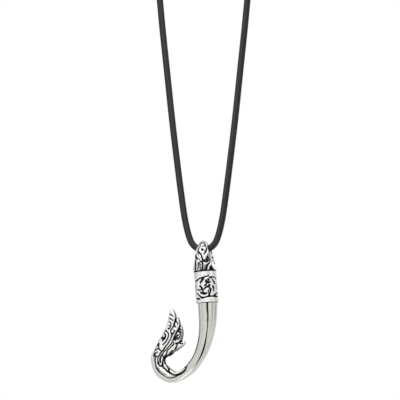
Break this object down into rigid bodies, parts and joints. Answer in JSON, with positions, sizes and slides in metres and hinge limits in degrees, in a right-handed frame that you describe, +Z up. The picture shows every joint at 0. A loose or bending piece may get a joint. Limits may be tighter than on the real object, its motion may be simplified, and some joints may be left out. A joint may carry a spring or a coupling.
{
  "type": "hei matau pendant on a cord",
  "caption": "Carved steel fish-hook pendant with a scrolled bail and collar, hanging from a closed loop of round leather cord.",
  "frame": {"origin": "underside of the clasp at the top of the loop, where it rests on the back of the neck", "axes": "+Z up, +X to the right across the loop, +Y away from the viewer; the hook opens to the left and its front faces -Y"},
  "size_m": [0.0576, 0.0116, 0.2996],
  "materials": {
    "cord": "matte black waxed leather",
    "clasp": "plain brushed steel",
    "bail": "cast, blackened in the recesses",
    "collar": "cast, blackened in the recesses",
    "hook_shank": "polished, with a warm grey tone",
    "barb_head": "cast, blackened in the carved lines"
  },
  "bodies": {
    "necklace": {"cord": "cord", "clasp": "clasp"},
    "pendant": {"bail": "bail", "collar": "collar", "hook_shank": "hook_shank", "barb_head": "barb_head"}
  },
  "joints": [
    {"name": "pendant_swing", "type": "hinge", "parent": "necklace", "child": "pendant", "pos_m": [0, 0, -0.23], "axis": [1, 0, 0], "range_deg": [-150, 150]}
  ]
}
